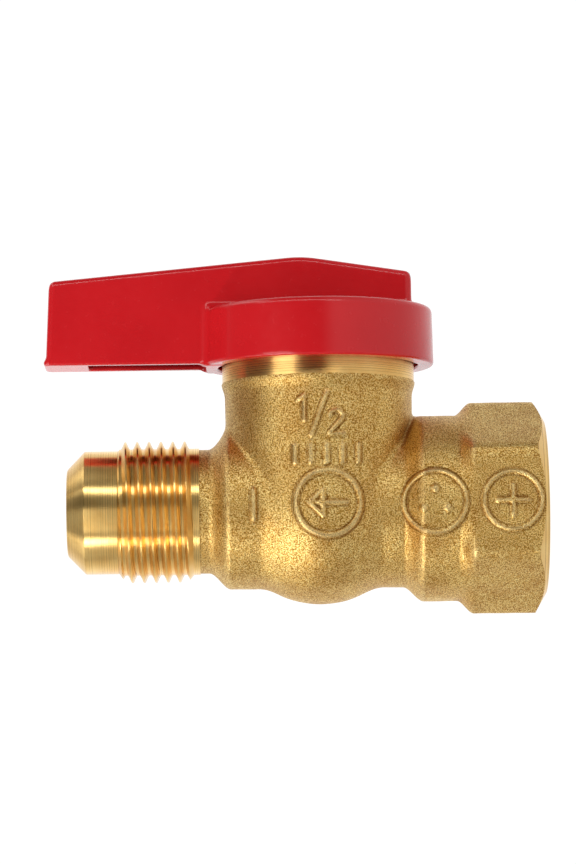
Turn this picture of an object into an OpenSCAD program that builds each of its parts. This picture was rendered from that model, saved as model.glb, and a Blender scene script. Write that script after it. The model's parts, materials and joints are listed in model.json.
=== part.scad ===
// Quarter-turn ball valve: flare outlet, female pipe-thread inlet, red lever.
// X runs along the pipe and points out of the inlet, Z along the stem towards the lever.
// The origin is the centre of the inlet's end face. The lever is shown open, along the pipe.

/* [Body] */
// Stem axis to the inlet's end face
inlet_len = 30.1; // [28:0.1:34]
// Stem axis to the tip of the flare nose
outlet_len = 33.8; // [32:0.1:36]
// Radius of the plain barrel on each side of the ball chamber
barrel_r = 10.45; // [10.2:0.05:11]
// Radius of the round bulge below the ball
chamber_r = 12.6; // [12.2:0.05:13.2]
// Radius of the collar in front of the spanner hexagon
collar_r = 12.4; // [12:0.05:12.45]
// Spanner size of the inlet hexagon, across flats
hex_af = 25; // [24.8:0.1:26]
// Radius that rounds the hexagon's corners
hex_corner_r = 14.2; // [14:0.05:14.4]
// Length of the hexagon
hex_len = 9.8; // [9:0.1:11]
// Radius of the forged neck
neck_r = 12.45; // [12.3:0.05:12.8]
// Radius of the turned rim at the top of the neck
rim_r = 12.9; // [12.85:0.05:13]
// Height of the neck's top above the pipe axis
neck_top = 20.5; // [20.3:0.1:20.6]

/* [Flare outlet] */
// Radius over the crests of the outlet thread, 3/4-16
thread_r = 9.45; // [9.4:0.01:9.5]
// Radius at the bottom of the thread
thread_root_r = 8.5; // [8.4:0.05:8.6]
// Pitch of the outlet thread
thread_pitch = 1.5875; // [1.5:0.0125:1.6]
// Number of thread crests
thread_crests = 6; // [5:1:6]
// Radius of the plain nose behind the flare cone
nose_r = 8.2; // [7.9:0.05:8.3]
// Radius of the flow bore through the outlet
outlet_bore_r = 5; // [4.5:0.1:5.2]

/* [Pipe-thread inlet] */
// Radius at the crests of the inlet thread, 1/2-14 taper
inlet_bore_r = 9.15; // [9:0.05:9.3]
// Length of the inlet thread
inlet_depth = 13.6; // [12:0.1:13.8]

/* [Ball and seats] */
// Radius of the ball
ball_r = 8.8; // [8.6:0.05:8.9]
// Radius of the ball's flow bore
port_r = 5; // [4.5:0.1:5]
// Radius of the chamber that holds the ball and its seats
cavity_r = 10.3; // [10.2:0.05:10.4]
// Gap between the ball and its seats
ball_gap = 0.05; // [0.02:0.01:0.1]

/* [Stem and bonnet] */
// Radius of the stem
stem_r = 4; // [3.8:0.05:4]
// Radial running gap between the stem and the bonnet
stem_gap = 0.05; // [0.02:0.01:0.1]
// Radius of the neck's bonnet thread
bonnet_r = 11; // [10.9:0.05:11.05]
// Side of the stem's square
square_side = 5.6; // [5.2:0.1:5.6]
// Radius of the lever screw's thread
screw_r = 2; // [1.8:0.1:2]

/* [Lever] */
// Outer radius of the lever's round cap at its lower edge
cap_r = 15.55; // [15.3:0.05:15.8]
// Inner radius of the cap's skirt
skirt_r = 13.4; // [13.3:0.05:13.6]
// Lower edge of the cap above the pipe axis
lever_base = 19.25; // [19:0.05:19.5]
// Lower edge of the blade above the pipe axis
blade_base = 19.5; // [19.3:0.05:19.8]
// Top of the cap above the pipe axis
cap_top = 27; // [26.6:0.1:27.4]
// Width of the lever at its tip
tip_width = 8.3; // [8:0.1:8.8]
// Width of the lever at its other end
root_width = 9.3; // [9:0.1:9.8]
// Quarter turn from open to closed
lever_swing = 90; // [90:1:90]

/* [Hidden] */
$fn = 96;

clear = 0.05;        // assembly gap between pieces that are held still against each other
far = 80;            // longer than any part, for cutting tools
over = 1;            // how far a cutting tool reaches past the face it opens
edge = 0.3;          // small turned chamfers

// Stations along the pipe, from the stem axis
nose_face_r = 5.85;
cone_end = -outlet_len + (nose_r - nose_face_r);
thread_start = -27;
first_crest = thread_start + 1;
crest_w = thread_pitch / 8;
root_w = thread_pitch / 4;
last_crest = first_crest + (thread_crests - 1) * thread_pitch;
relief_start = last_crest + 0.75;
relief_end = -16.1;
throat_r = 8.25;
throat_end = -14.9;
barrel_start = -12.1;
barrel_end = 10.9;
collar_start = 13.6;
collar_end = 18.1;
hex_start = inlet_len - hex_len;
end_face_r = 11.6;
end_chamfer = 1.5;
mouth_chamfer = 0.35;
inlet_port_r = outlet_bore_r + 0.5;
drill_end = 14.3;

// Outside of the neck
rim_start = 14.8;
rim_base = 17.1;
neck_chamfer = 0.4;

// Seats, pressure ring and spring around the ball
seat_bottom = -8;
seat_top = 7.6;
seat_split = 0.15;
ring_bore_r = 5.6;
ring_top = 9.6;
spring_r = [6, 9.9];
spring_t = 0.6;
spring_rise = 0.45;

// Ball, tang and stem
slot_w = 3.6;
slot_floor = 6.25;
vent_r = 0.75;
tang_w = 3.5;
tang_r = 4.2;
tang_gap = 0.1;
flange_r = 4.9;
flange_base = 9;
flange_top = 10.8;
washer_top = 11.6;
stem_grooves = [[13, 14.3], [16.2, 17.5]];
seal_r = 0.5;
stem_groove_r = stem_r - 2 * seal_r - 0.02;
square_start = 20.7;
square_top = 24.8;
screw_hole_base = 18.5;

// Bonnet
bonnet_base = 10.7;
spigot_top = 13.6;
bonnet_top = 19.8;
bonnet_groove = [11.5, 13];
bonnet_groove_r = 8.9;
bonnet_seal_r = 0.64;
flange_room = 0.35;
spanner_hole_r = 1.25;
spanner_hole_y = 7.6;
spanner_hole_depth = 3;

// Lever: its blade from tip to root, and the rounded crest over the stem
tip_x = -36.5;
tip_top = 30.95;
tip_lean = 0.4;
root_x = 12.6;
root_top = 31.45;
crest_x = -2;
crest_z = 33.75;
crest_curve = 0.022;
back_end = [crest_x - 6, 33.4];

// Lever: hollows under the blade and in the cap
core_w = 5.8;
core_start = -30.8;
core_top = 28.75;
core_slope = 0.09;
pocket_top = 28.9;
pocket_reach = [12.6, 10.6];
ceiling = 24;
hub_r = 6.8;
hub_base = 21;
hub_gap = 0.6;

// Screw and washer that hold the lever on the stem
screw_base = 19.2;
screw_floor = 26.4;
recess_r = 3.6;
washer_h = 0.8;
head_r = 3.3;
head_top = 29.4;
head_round = 0.5;
cross_slot = [3.8, 0.9, 1.4];

// Stop lug on the neck and the two ribs in the cap that meet it
lug_angle = 45;
lug_half = 9;
lug_h = 2.2;
rib_half = 7;
rib_gap = 0.4;
stop_gap = 1;
rib_offset = lug_half + rib_half + stop_gap;

module at_stem() translate([-inlet_len, 0, 0]) children();

// Turns children that stand on Z so that they lie along X, towards the inlet
module along_x() rotate([0, 90, 0]) children();

module turned(profile) rotate_extrude() polygon(profile);

module ring(inner, outer, low, high)
    turned([[inner, low], [outer, low], [outer, high], [inner, high]]);

module o_ring(major, minor, height)
    translate([0, 0, height]) rotate_extrude() translate([major, 0]) circle(r = minor, $fn = 32);

// A pie slice centred on an angle, used to cut rings into lugs
module slice(angle, half, low, high)
    translate([0, 0, low]) linear_extrude(high - low)
        polygon([[0, 0], for (a = [-half, 0, half]) far * [cos(angle + a), sin(angle + a)]]);

// Points of a smooth step from one radius to another, as a forging die leaves it
function eased(t) = t * t * (3 - 2 * t);
function forged_step(x0, r0, x1, r1, n = 6) =
    [for (i = [0:n]) let (t = i / n) [r0 + (r1 - r0) * eased(t), x0 + (x1 - x0) * t]];

// One thread form: crest flat, flank, root flat, flank
function thread_groove(x) = [
    [thread_r, x + crest_w / 2],
    [thread_root_r, x + (thread_pitch - root_w) / 2],
    [thread_root_r, x + (thread_pitch + root_w) / 2],
    [thread_r, x + thread_pitch - crest_w / 2]];

outlet_profile = concat(
    [[0, -outlet_len], [nose_face_r, -outlet_len], [nose_r, cone_end], [nose_r, thread_start],
        [thread_r, first_crest - crest_w / 2]],
    [for (i = [0:thread_crests - 2]) each thread_groove(first_crest + i * thread_pitch)],
    [[thread_r, last_crest + crest_w / 2], [thread_root_r, relief_start],
        [thread_root_r, relief_end], [throat_r, relief_end]],
    forged_step(throat_end, throat_r, barrel_start, barrel_r),
    forged_step(barrel_end, barrel_r, collar_start, collar_r),
    [[collar_r, collar_end], [0, collar_end]]);

neck_profile = [[0, 0], [neck_r, 0], [neck_r, rim_start], [rim_r, rim_base], [rim_r, neck_top - edge],
    [rim_r - edge, neck_top], [0, neck_top]];

hex_limit = [[0, collar_end], [collar_r, collar_end], [hex_corner_r, hex_start],
    [hex_corner_r, inlet_len - end_chamfer], [end_face_r, inlet_len], [0, inlet_len]];

inlet_bore = [[0, drill_end], [inlet_port_r, drill_end], [inlet_bore_r, inlet_len - inlet_depth],
    [inlet_bore_r, inlet_len - mouth_chamfer], [inlet_bore_r + 2 * mouth_chamfer, inlet_len + mouth_chamfer],
    [0, inlet_len + mouth_chamfer]];

module hexagon_end()
    intersection() {
        along_x() turned(hex_limit);
        translate([collar_end, 0, 0]) rotate([0, 90, 0])
            cylinder(r = hex_af / sqrt(3), h = inlet_len - collar_end, $fn = 6);
    }

module stop_lug()
    intersection() {
        ring(bonnet_r + clear, rim_r - 0.1, neck_top - 0.5, neck_top + lug_h);
        slice(lug_angle, lug_half, neck_top - over, neck_top + lug_h + over);
    }

module chamber() {
    cylinder(r = cavity_r, h = spigot_top);
    sphere(r = cavity_r);
    turned([[0, spigot_top], [bonnet_r, spigot_top], [bonnet_r, neck_top - neck_chamfer],
        [bonnet_r + neck_chamfer, neck_top], [0, neck_top]]);
}

module valve_body() color("darkgoldenrod") at_stem() {
    difference() {
        union() {
            along_x() turned(outlet_profile);
            sphere(r = chamber_r);
            turned(neck_profile);
            hexagon_end();
        }
        chamber();
        along_x() translate([0, 0, -far]) cylinder(r = outlet_bore_r, h = far);
        along_x() cylinder(r = inlet_port_r, h = drill_end + over);
        along_x() turned(inlet_bore);
    }
    stop_lug();
}

// Half of the moulded liner that fills the chamber around the ball; side is -1 or 1 along X
module seat_half(side)
    intersection() {
        difference() {
            union() {
                cylinder(r = cavity_r - clear, h = seat_top);
                sphere(r = cavity_r - clear);
            }
            sphere(r = ball_r + ball_gap);
            along_x() translate([0, 0, -far / 2]) cylinder(r = port_r, h = far);
        }
        translate([side > 0 ? seat_split : -far - seat_split, -far / 2, seat_bottom])
            cube([far, far, seat_top - seat_bottom]);
    }

module outlet_seat() color("white") at_stem() seat_half(-1);

module inlet_seat() color("white") at_stem() seat_half(1);

module pressure_ring() color("goldenrod") at_stem()
    ring(ring_bore_r, cavity_r - clear, seat_top, ring_top);

// A dished washer that keeps the seats pressed on the ball
module seat_spring() color("silver") at_stem()
    turned([[spring_r[0], ring_top + spring_rise], [spring_r[1], ring_top + 0.02],
        [spring_r[1], ring_top + 0.02 + spring_t], [spring_r[0], ring_top + spring_rise + spring_t]]);

module ball() color("gainsboro") at_stem()
    difference() {
        sphere(r = ball_r);
        along_x() translate([0, 0, -far / 2]) cylinder(r = port_r, h = far);
        translate([-slot_w / 2, -far / 2, slot_floor]) cube([slot_w, far, far]);
        cylinder(r = vent_r, h = far);
    }

stem_profile = concat(
    [[0, flange_base], [flange_r, flange_base], [flange_r, flange_top], [stem_r, flange_top]],
    [for (g = stem_grooves)
        each [[stem_r, g[0]], [stem_groove_r, g[0]], [stem_groove_r, g[1]], [stem_r, g[1]]]],
    [[stem_r, square_start], [0, square_start]]);

module stem() color("goldenrod") at_stem()
    difference() {
        union() {
            turned(stem_profile);
            intersection() {
                translate([-tang_w / 2, -far / 2, slot_floor + tang_gap])
                    cube([tang_w, far, flange_base + tang_gap - slot_floor]);
                cylinder(r = tang_r, h = far);
            }
            translate([-square_side / 2, -square_side / 2, square_start - over])
                cube([square_side, square_side, square_top - square_start + over]);
        }
        translate([0, 0, screw_hole_base]) cylinder(r = screw_r, h = far);
    }

module thrust_washer() color("white") at_stem()
    ring(stem_r + clear, flange_r, flange_top + 0.02, washer_top - 0.02);

module lower_stem_seal() color("dimgray") at_stem()
    o_ring(stem_r - seal_r, seal_r, (stem_grooves[0][0] + stem_grooves[0][1]) / 2);

module upper_stem_seal() color("dimgray") at_stem()
    o_ring(stem_r - seal_r, seal_r, (stem_grooves[1][0] + stem_grooves[1][1]) / 2);

bonnet_profile = [
    [stem_r + stem_gap, washer_top], [flange_r + flange_room, washer_top],
    [flange_r + flange_room, bonnet_base], [cavity_r - clear, bonnet_base],
    [cavity_r - clear, bonnet_groove[0]], [bonnet_groove_r, bonnet_groove[0]],
    [bonnet_groove_r, bonnet_groove[1]], [cavity_r - clear, bonnet_groove[1]],
    [cavity_r - clear, spigot_top + clear], [bonnet_r - clear, spigot_top + clear + edge],
    [bonnet_r - clear, bonnet_top - edge], [bonnet_r - clear - edge, bonnet_top],
    [stem_r + stem_gap + edge, bonnet_top], [stem_r + stem_gap, bonnet_top - edge]];

module bonnet() color("goldenrod") at_stem()
    difference() {
        turned(bonnet_profile);
        for (side = [-1, 1])
            translate([0, side * spanner_hole_y, bonnet_top - spanner_hole_depth])
                cylinder(r = spanner_hole_r, h = spanner_hole_depth + over);
    }

module bonnet_seal() color("dimgray") at_stem()
    o_ring(cavity_r - clear - bonnet_seal_r - 0.01, bonnet_seal_r, (bonnet_groove[0] + bonnet_groove[1]) / 2);

// Side view of the blade: tip, rising back, rounded crest over the stem, short fall to the root
blade_side = concat(
    [[tip_x - 0.3, blade_base], [tip_x - 0.1, blade_base + 2.5], [tip_x + tip_lean, tip_top - 0.9],
        [tip_x + tip_lean + 0.9, tip_top], back_end],
    [for (x = [-4, -2, 0, 2]) [crest_x + x, crest_z - crest_curve * x * x]],
    [[root_x - 1, root_top], [root_x, root_top - 1], [root_x, blade_base]]);

// Plan view of the blade: it narrows a little towards the tip
blade_plan = [[tip_x - over, -tip_width / 2], [root_x + over, -root_width / 2],
    [root_x + over, root_width / 2], [tip_x - over, tip_width / 2]];

module blade_shape()
    intersection() {
        translate([0, far / 2, 0]) rotate([90, 0, 0]) linear_extrude(far) polygon(blade_side);
        linear_extrude(far) polygon(blade_plan);
    }

// Hollow under the blade between the solid tip and the cap
module blade_core(x0, x1, low)
    translate([0, core_w / 2, 0]) rotate([90, 0, 0]) linear_extrude(core_w)
        polygon([[x0, low], [x0 + tip_lean, core_top], [x1, core_top + (x1 - x0) * core_slope], [x1, low]]);

module cap_shape()
    turned([[0, cap_top], [cap_r - 0.85, cap_top], [cap_r - 0.35, cap_top - 0.2],
        [cap_r - 0.15, cap_top - 0.7], [cap_r, lever_base], [0, lever_base]]);

module stop_rib(angle)
    intersection() {
        ring(bonnet_r - 0.2, skirt_r + over, neck_top + rib_gap, ceiling + over);
        slice(angle, rib_half, neck_top, ceiling + over);
    }

module handle() color("crimson") at_stem()
    difference() {
        union() {
            difference() {
                blade_shape();
                blade_core(core_start, -cap_r + 0.6, blade_base - over);
                cylinder(r = skirt_r, h = ceiling);
            }
            difference() {
                cap_shape();
                ring(hub_r, skirt_r, lever_base - over, ceiling);
                cylinder(r = hub_r + over, h = hub_base);
            }
            stop_rib(lug_angle - rib_offset);
            stop_rib(lug_angle + rib_offset + lever_swing);
        }
        translate([-square_side / 2 - clear, -square_side / 2 - clear, 0])
            cube([square_side + 2 * clear, square_side + 2 * clear, square_top]);
        cylinder(r = screw_r + 0.2, h = far);
        translate([0, 0, screw_floor]) cylinder(r = recess_r, h = far);
        blade_core(-pocket_reach[0], -hub_r - hub_gap, ceiling - over);
        translate([hub_r + hub_gap, -core_w / 2, ceiling - over])
            cube([pocket_reach[1] - hub_r - hub_gap, core_w, pocket_top - ceiling + over]);
    }

module screw_washer() color("silver") at_stem()
    ring(screw_r + 0.15, head_r - 0.1, screw_floor, screw_floor + washer_h);

module handle_screw() color("silver") at_stem()
    difference() {
        turned([[0, screw_base], [screw_r - 0.5, screw_base], [screw_r - 0.02, screw_base + 0.6],
            [screw_r - 0.02, screw_floor + washer_h], [head_r, screw_floor + washer_h],
            [head_r, head_top - head_round], [head_r - head_round, head_top], [0, head_top]]);
        for (turn = [0, 90])
            rotate([0, 0, turn])
                translate([-cross_slot[0] / 2, -cross_slot[1] / 2, head_top - cross_slot[2]])
                    cube([cross_slot[0], cross_slot[1], cross_slot[2] + over]);
    }

valve_body();
outlet_seat();
inlet_seat();
pressure_ring();
seat_spring();
ball();
stem();
thrust_washer();
lower_stem_seal();
upper_stem_seal();
bonnet();
bonnet_seal();
handle();
screw_washer();
handle_screw();
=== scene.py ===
import json
import math

import bmesh
import bpy
import numpy as np
from mathutils import Matrix, Vector

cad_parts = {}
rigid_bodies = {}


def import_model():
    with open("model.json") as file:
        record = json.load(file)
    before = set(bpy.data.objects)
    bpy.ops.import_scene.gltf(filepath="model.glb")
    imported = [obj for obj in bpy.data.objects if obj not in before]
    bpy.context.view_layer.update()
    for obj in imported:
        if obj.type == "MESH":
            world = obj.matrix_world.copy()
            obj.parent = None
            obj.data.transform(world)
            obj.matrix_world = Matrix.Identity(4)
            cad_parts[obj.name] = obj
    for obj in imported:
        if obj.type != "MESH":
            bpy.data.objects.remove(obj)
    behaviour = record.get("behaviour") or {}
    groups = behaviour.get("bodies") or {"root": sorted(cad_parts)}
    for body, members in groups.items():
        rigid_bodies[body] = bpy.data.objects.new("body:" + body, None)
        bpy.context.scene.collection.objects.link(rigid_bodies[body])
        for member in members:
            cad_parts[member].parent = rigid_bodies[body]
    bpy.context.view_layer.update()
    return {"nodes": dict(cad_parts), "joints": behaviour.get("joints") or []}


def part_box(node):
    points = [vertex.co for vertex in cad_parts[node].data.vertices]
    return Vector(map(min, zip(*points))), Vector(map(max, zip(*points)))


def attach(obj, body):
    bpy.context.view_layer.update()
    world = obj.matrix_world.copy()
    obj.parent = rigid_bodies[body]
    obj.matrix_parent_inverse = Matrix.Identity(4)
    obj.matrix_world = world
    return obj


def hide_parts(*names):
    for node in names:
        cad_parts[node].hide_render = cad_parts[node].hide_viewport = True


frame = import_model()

mm = 0.001
stemAxis = Vector(frame["joints"][0]["pos_m"])
fixedBody, turningBody = frame["joints"][0]["parent"], frame["joints"][0]["child"]
bodyLow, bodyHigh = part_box("valve_body")
leverLow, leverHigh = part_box("handle")


def fromStem(corner):  # a place in the frame as millimetres from the stem axis
    return [(a - b) / mm for a, b in zip(corner, stemAxis)]


noseX = fromStem(bodyLow)[0]      # outlet's tip
inletX = fromStem(bodyHigh)[0]    # inlet's end face
leverBase = fromStem(leverLow)[2]
leverTip = fromStem(leverLow)[0]
crestTop = fromStem(leverHigh)[2]


def ease(t):  # 0 to 1 with level ends: t squared times (3 - 2t)
    t = np.clip(t, 0, 1)
    return t * t * (3 - 2 * t)


def softMin(a, b, k):  # the lesser of two, rounded over a width k: a fillet
    h = np.clip(0.5 + 0.5 * (b - a) / k, 0, 1)
    return b + (a - b) * h - k * h * (1 - h)


def softMax(a, b, k):  # the greater of two, rounded over a width k: a worn edge
    return -softMin(-a, -b, k)


def gridFaces(rows, columns):  # quads between neighbouring rows and columns of a grid
    first = (np.arange(rows - 1)[:, None] * columns + np.arange(columns - 1)[None, :]).ravel()
    return np.stack([first, first + 1, first + columns + 1, first + columns], 1)


def sheetOf(x, y, z):  # a grid of points as (points, faces)
    points = np.stack(np.broadcast_arrays(x, y, z), -1)
    return points.reshape(-1, 3), gridFaces(*points.shape[:2])


def joined(sheets):
    points, faces, start = [], [], 0
    for p, f in sheets:
        points.append(p)
        faces.append(f + start)
        start += len(p)
    return np.concatenate(points), np.concatenate(faces)


def fan(ring, centre):  # closes a ring of points with triangles to its centre
    n = len(ring)
    i = np.arange(n - 1)
    points = np.concatenate([ring, [centre]])
    return points, np.stack([i, i + 1, np.full(n - 1, n), np.full(n - 1, n)], 1)


def meshFrom(name, points, faces, sharpAngle=None, weld=1e-4):
    # points in millimetres from the stem axis; equal points are merged and faces turned outwards
    mesh = bpy.data.meshes.new(name)
    place = points * mm + np.array(stemAxis)
    mesh.from_pydata(place.tolist(), [], [f[:3] if f[2] == f[3] else f for f in faces.tolist()])
    bm = bmesh.new()
    bm.from_mesh(mesh)
    if weld:
        bmesh.ops.remove_doubles(bm, verts=bm.verts, dist=weld * mm)
        bmesh.ops.dissolve_degenerate(bm, edges=bm.edges, dist=weld * mm)
    bmesh.ops.recalc_face_normals(bm, faces=bm.faces)
    bm.to_mesh(mesh)
    bm.free()
    mesh.shade_smooth()
    if sharpAngle:
        mesh.set_sharp_from_angle(angle=math.radians(sharpAngle))
    piece = bpy.data.objects.new(name, mesh)
    bpy.context.scene.collection.objects.link(piece)
    return piece


def finishPiece(piece, material, body, replaced=()):
    piece.data.materials.clear()
    piece.data.materials.append(material)
    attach(piece, body)
    if replaced:
        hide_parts(*replaced)
    print(f"{piece.name}: {len(piece.data.vertices)} points, {len(piece.data.polygons)} faces")


def cutAway(piece, cutter):  # takes the cutter's volume out of a piece
    step = piece.modifiers.new("cut", "BOOLEAN")
    step.operation, step.solver, step.object = "DIFFERENCE", "MANIFOLD", cutter
    bpy.context.view_layer.update()
    cut = bpy.data.meshes.new_from_object(piece.evaluated_get(bpy.context.evaluated_depsgraph_get()))
    piece.modifiers.clear()
    old = piece.data
    piece.data = cut
    bpy.data.meshes.remove(old)
    bpy.data.objects.remove(cutter)


def turnedAbout(axis, profile, count=96):
    # a closed profile of (along, radius) carried once round an axis, "x" or "z"
    along, radius = np.array(profile + profile[:1], float).T
    turn = np.linspace(0, 2 * np.pi, count + 1)
    a, r = along[:, None], radius[:, None]
    if axis == "x":
        return sheetOf(a + 0 * turn, r * np.cos(turn), r * np.sin(turn))
    return sheetOf(r * np.cos(turn), r * np.sin(turn), a + 0 * turn)


class Nodes:  # a short way to add and link shader nodes
    def __init__(self, name):
        self.material = bpy.data.materials.new(name)
        self.material.use_nodes = True
        self.tree = self.material.node_tree
        self.shader = self.tree.nodes["Principled BSDF"]
        self.place = self.add("TexCoord").outputs["Object"]

    def add(self, kind, **settings):
        node = self.tree.nodes.new("ShaderNode" + kind)
        for key, value in settings.items():
            setattr(node, key, value)
        return node

    def link(self, source, target):
        self.tree.links.new(source, target)

    def fill(self, socket, value):  # a number or a colour is set, an output is linked
        if isinstance(value, (int, float)):
            socket.default_value = value
        elif isinstance(value, tuple):
            socket.default_value = (*value, 1)
        else:
            self.link(value, socket)

    def sums(self, operation, a, b):
        node = self.add("Math", operation=operation)
        self.fill(node.inputs[0], a)
        self.fill(node.inputs[1], b)
        return node.outputs[0]

    def vector(self, operation, a, b=None):
        node = self.add("VectorMath", operation=operation)
        self.link(a, node.inputs[0])
        if b:
            node.inputs[1].default_value = b
        return node.outputs["Value" if operation == "LENGTH" else "Vector"]

    def noise(self, scale, detail, roughness, place=None, flat=False):
        node = self.add("TexNoise", noise_dimensions="1D" if flat else "3D")
        node.inputs["Scale"].default_value = scale
        node.inputs["Detail"].default_value = detail
        node.inputs["Roughness"].default_value = roughness
        self.link(place or self.place, node.inputs["W" if flat else "Vector"])
        return node.outputs["Fac"]

    def ramp(self, source, *stops):
        node = self.add("ValToRGB")
        points = node.color_ramp.elements
        while len(points) < len(stops):
            points.new(0.5)
        for point, (at, colour) in zip(points, stops):
            point.position = at
            point.color = (*colour, 1)
        self.link(source, node.inputs[0])
        return node.outputs[0]

    def spread(self, source, low, high, toLow, toHigh):
        node = self.add("MapRange")
        for socket, value in zip(node.inputs[1:5], (low, high, toLow, toHigh)):
            socket.default_value = value
        self.link(source, node.inputs[0])
        return node.outputs[0]

    def bump(self, height, distance):
        node = self.add("Bump")
        node.inputs["Distance"].default_value = distance
        self.link(height, node.inputs["Height"])
        return node.outputs["Normal"]

    def mixed(self, share, a, b, blend="MIX"):
        node = self.add("Mix", data_type="RGBA", blend_type=blend)
        for place, value in ((0, share), (6, a), (7, b)):
            self.fill(node.inputs[place], value)
        return node.outputs[2]

    def finish(self, **sockets):
        for key, value in sockets.items():
            self.fill(self.shader.inputs[key.replace("_", " ")], value)
        return self.material


# materials: each noise is given as its scale per metre, its detail and its roughness
blasted = dict(
    grain=(6800, 1.5, 0.6), pit=(2500, 3.0, 0.6), blotch=(210, 3.0, 0.6),
    grainHeight=0.7, pitHeight=0.6, depth=0.00009,
    grainStops=((0.385, (0.32, 0.145, 0.022)), (0.5, (0.77, 0.45, 0.10)), (0.60, (1.0, 0.80, 0.34))),
    blotchStops=((0.34, (0.84, 0.76, 0.68)), (0.62, (1.0, 1.0, 1.0))),
    # sunk: the colour darkened in corners and creases, as painted shade
    sunk=(-2.6, -0.7), sunkShadeShare=0.75, sunkShadeTint=(0.34, 0.22, 0.15),
    # proud: the colour lightened on edges and mark tops, partly wear and partly painted highlight
    proud=(0.35, 2.6), proudWearAndHighlightShare=0.25, proudWearAndHighlightColour=(1.0, 0.84, 0.46),
    rough=(0.54, 0.38), rubbed=0.12)           # rubbed edges lose this much roughness


def forgedBrass():  # sand-blasted forging: fine grains, with painted shade in its corners; its edges rubbed smoother and lightened in colour, as wear and as painted highlight
    b = blasted
    n = Nodes("forgedBrass")
    grain = n.noise(*b["grain"])
    pits = n.noise(*b["pit"])
    tone = n.noise(*b["blotch"])
    relief = n.add("Attribute", attribute_name="relief").outputs["Fac"]
    sunk = n.spread(relief, *b["sunk"], 1.0, 0.0)
    proud = n.spread(relief, *b["proud"], 0.0, 1.0)
    colour = n.mixed(1.0, n.ramp(grain, *b["grainStops"]), n.ramp(tone, *b["blotchStops"]), "MULTIPLY")
    # painted shade: the colour darkened where the skin bends inward
    paintedShade = n.mixed(1.0, colour, b["sunkShadeTint"], "MULTIPLY")
    colour = n.mixed(n.sums("MULTIPLY", sunk, b["sunkShadeShare"]), colour, paintedShade)
    # painted highlight with wear: the colour lightened where the skin stands proud
    colour = n.mixed(n.sums("MULTIPLY", proud, b["proudWearAndHighlightShare"]), colour, b["proudWearAndHighlightColour"])
    grains, hollows = n.sums("MULTIPLY", grain, b["grainHeight"]), n.sums("MULTIPLY", pits, b["pitHeight"])
    height = n.sums("ADD", grains, hollows)
    rough = n.spread(grain, 0.35, 0.65, *b["rough"])
    rough = n.sums("SUBTRACT", rough, n.sums("MULTIPLY", proud, b["rubbed"]))
    return n.finish(Base_Color=colour, Metallic=1.0, Roughness=rough, Normal=n.bump(height, b["depth"]))


turned = dict(
    fineLine=(9000, 3.0, 0.7), broadLine=(1600, 2.0, 0.5), stain=(320, 4.0, 0.6),
    fineHeight=0.7, depth=0.0000035,
    rough=(0.26, 0.34), stretch=0.95,          # reflections are drawn out along the profile
    stainStops=((0.3, (0.90, 0.55, 0.165)), (0.65, (0.98, 0.67, 0.24))),
    lineStops=((0.36, (0.52, 0.44, 0.36)), (0.47, (1.0, 1.0, 1.0))))


def turnedBrass(name, axis):  # tool lines that run round the axis, as a noise of one number
    t = turned
    n = Nodes(name)
    flat = (0, 1, 1) if axis == "x" else (1, 1, 0)
    centred = n.vector("SUBTRACT", n.place, tuple(stemAxis))
    parts = n.add("SeparateXYZ")
    n.link(centred, parts.inputs[0])
    spoke = n.vector("MULTIPLY", centred, flat)
    outward = n.vector("NORMALIZE", spoke)
    profileLine = n.vector("ADD", outward, tuple(1 - f for f in flat))  # lies along any turned profile
    line = n.sums("ADD", parts.outputs["X" if axis == "x" else "Z"], n.vector("LENGTH", spoke))
    fine = n.noise(*t["fineLine"], line, flat=True)
    broad = n.noise(*t["broadLine"], line, flat=True)
    stain = n.noise(*t["stain"])
    colour = n.mixed(1.0, n.ramp(stain, *t["stainStops"]), n.ramp(fine, *t["lineStops"]), "MULTIPLY")
    height = n.sums("ADD", n.sums("MULTIPLY", fine, t["fineHeight"]), broad)
    n.link(profileLine, n.shader.inputs["Tangent"])
    return n.finish(Base_Color=colour, Metallic=1.0, Anisotropic=t["stretch"],
                    Roughness=n.spread(fine, 0.3, 0.7, *t["rough"]), Normal=n.bump(height, t["depth"]))


enamelled = dict(
    peel=(900, 2.0, 0.5), wave=(160, 2.0, 0.5), tone=(90, 3.0, 0.5), peelHeight=0.35, depth=0.00005,
    toneStops=((0.3, (0.60, 0.0095, 0.014)), (0.7, (0.67, 0.0125, 0.0175))),
    withinShadeTint=(0.22, 0.5, 0.5), rough=(0.20, 0.28), gloss=0.24, coat=0.38, coatRough=0.035)


def redEnamel():  # gloss paint over a die casting: slight orange peel, and painted shade up inside the hollow
    e = enamelled
    n = Nodes("redEnamel")
    peel = n.noise(*e["peel"])
    wave = n.noise(*e["wave"])
    tone = n.noise(*e["tone"])
    within = n.add("Attribute", attribute_name="within").outputs["Fac"]
    colour = n.ramp(tone, *e["toneStops"])
    # painted shade: the colour darkened up inside the hollow
    colour = n.mixed(within, colour, n.mixed(1.0, colour, e["withinShadeTint"], "MULTIPLY"))
    height = n.sums("ADD", n.sums("MULTIPLY", peel, e["peelHeight"]), wave)
    return n.finish(Base_Color=colour, Roughness=n.spread(peel, 0.3, 0.7, *e["rough"]),
                    Specular_IOR_Level=e["gloss"], Coat_Weight=e["coat"], Coat_Roughness=e["coatRough"],
                    Normal=n.bump(height, e["depth"]))


def moulded(name, light, dark, roughness, scale, uneven=0.12, depth=0.00001):  # plain, with a fine grain
    n = Nodes(name)
    grain = n.noise(scale, 3.0, 0.6)
    colour = n.ramp(grain, (0.3, dark), (0.7, light))
    return n.finish(Base_Color=colour, Roughness=n.spread(grain, 0.3, 0.7, roughness, roughness + uneven),
                    Normal=n.bump(grain, depth))


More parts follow.
